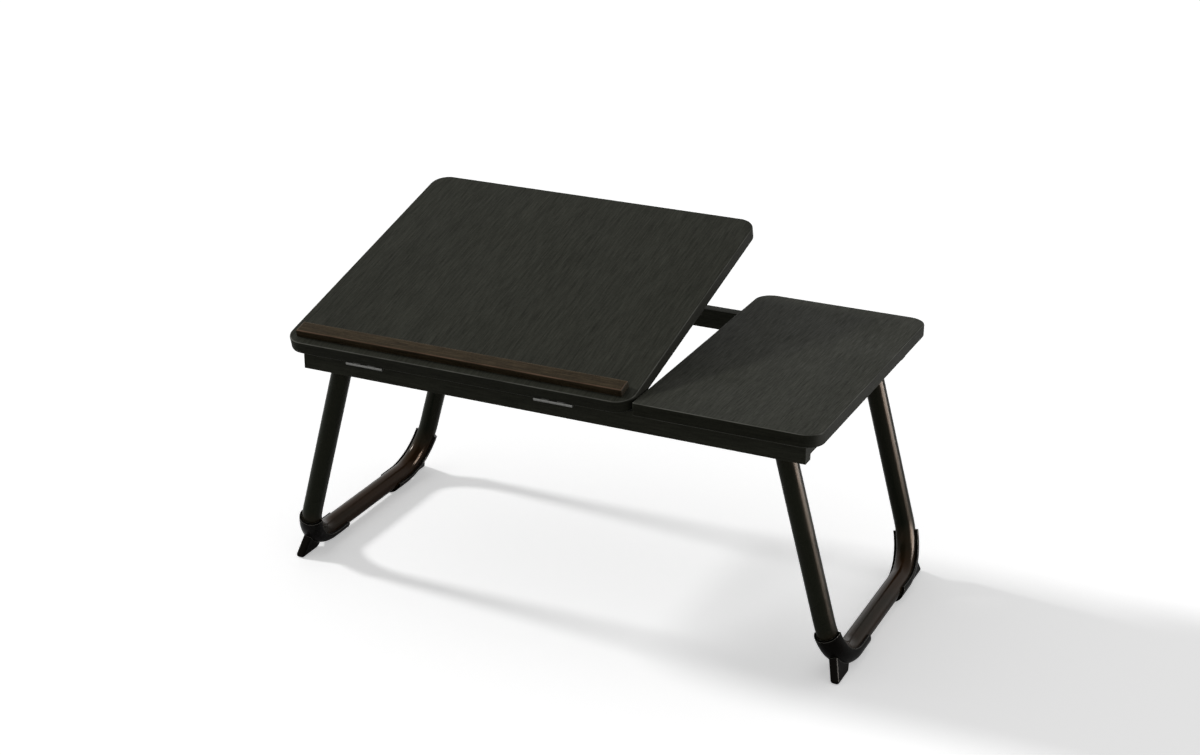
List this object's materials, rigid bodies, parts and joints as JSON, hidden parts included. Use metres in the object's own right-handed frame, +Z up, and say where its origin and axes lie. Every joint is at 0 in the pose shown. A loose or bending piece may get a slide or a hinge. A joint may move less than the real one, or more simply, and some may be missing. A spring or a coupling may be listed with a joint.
{
  "type": "folding bed table with tilting top",
  "caption": "Low folding table with a fixed side board and a wide board that tilts on a wire prop over notched racks, on two splayed tube legs that fold under.",
  "frame": {"origin": "on the floor, under the middle of the bounding box of the open table at rest", "axes": "+X along the boards towards the fixed board, +Y away from the user, +Z up"},
  "size_m": [0.6578, 0.3538, 0.3692],
  "materials": {
    "board_laminate": "dark charcoal wood-grain laminate, satin",
    "rail_laminate": "black wood-grain laminate, satin, lighter end grain",
    "stop_strip_wood": "dark walnut foil, satin",
    "dowel_wood": "plain beech, fluted",
    "leg_paint": "dark brown-black gloss paint on steel tube",
    "foot_plastic": "black moulded plastic, semi-gloss",
    "plug_plastic": "black moulded plastic, matte",
    "rack_plastic": "black nylon, matte",
    "strap_steel": "black powder coat on steel strip",
    "screw_steel": "zinc-plated",
    "hinge_steel": "bright zinc-plated",
    "prop_steel": "bright nickel-plated wire",
    "bolt_steel": "black oxide",
    "washer_nylon": "black nylon",
    "stop_pad_plastic": "black moulded plastic",
    "bumper_rubber": "black rubber, matte"
  },
  "bodies": {
    "frame": {"back_rail": "rail_laminate", "bumper_left": "bumper_rubber", "bumper_right": "bumper_rubber", "cross_rail_left": "rail_laminate", "cross_rail_right": "rail_laminate", "fixed_board": "board_laminate", "frame_leaf_left": "hinge_steel", "frame_leaf_right": "hinge_steel", "frame_leaf_screws": "screw_steel", "front_rail": "rail_laminate", "hinge_pin_left": "hinge_steel", "hinge_pin_right": "hinge_steel", "pivot_bolt_left_back": "bolt_steel", "pivot_bolt_left_front": "bolt_steel", "pivot_bolt_right_back": "bolt_steel", "pivot_bolt_right_front": "bolt_steel", "pivot_washer_left_back": "washer_nylon", "pivot_washer_left_front": "washer_nylon", "pivot_washer_right_back": "washer_nylon", "pivot_washer_right_front": "washer_nylon", "rack_left": "rack_plastic", "rack_right": "rack_plastic", "rack_screws": "screw_steel", "rack_strap_left": "strap_steel", "rack_strap_right": "strap_steel", "rail_dowels": "dowel_wood", "rail_screws": "screw_steel", "stop_pad_left_back": "stop_pad_plastic", "stop_pad_left_front": "stop_pad_plastic", "stop_pad_right_back": "stop_pad_plastic", "stop_pad_right_front": "stop_pad_plastic", "strap_screws": "screw_steel"},
    "tilting_board": {"tilt_board": "board_laminate", "stop_strip": "stop_strip_wood", "strip_screws": "screw_steel", "board_leaf_screws": "screw_steel", "prop_clip_screws": "screw_steel", "board_leaf_left": "hinge_steel", "board_leaf_right": "hinge_steel", "prop_clip_left": "rack_plastic", "prop_clip_right": "rack_plastic"},
    "prop": {"prop_frame": "prop_steel"},
    "left_leg": {"leg_left_foot_back": "foot_plastic", "leg_left_foot_front": "foot_plastic", "leg_left_plug_back": "plug_plastic", "leg_left_plug_front": "plug_plastic", "leg_left_tube": "leg_paint"},
    "right_leg": {"leg_right_foot_back": "foot_plastic", "leg_right_foot_front": "foot_plastic", "leg_right_plug_back": "plug_plastic", "leg_right_plug_front": "plug_plastic", "leg_right_tube": "leg_paint"}
  },
  "joints": [
    {"name": "board_tilt", "type": "hinge", "parent": "frame", "child": "tilting_board", "pos_m": [-0.098, -0.17108, 0.2636], "axis": [1, 0, 0], "range_deg": [-14.7, 20]},
    {"name": "prop_fold", "type": "hinge", "parent": "tilting_board", "child": "prop", "pos_m": [-0.098, -0.04014, 0.29651], "axis": [-1, 0, 0], "range_deg": [-30, 41]},
    {"name": "left_leg_fold", "type": "hinge", "parent": "frame", "child": "left_leg", "pos_m": [-0.251, 0, 0.25], "axis": [0, -1, 0], "range_deg": [0, 102]},
    {"name": "right_leg_fold", "type": "hinge", "parent": "frame", "child": "right_leg", "pos_m": [0.251, 0, 0.25], "axis": [0, 1, 0], "range_deg": [0, 95]}
  ],
  "couplings": [
    {"joint": "prop_fold", "follows": "board_tilt", "ratio": 2}
  ]
}
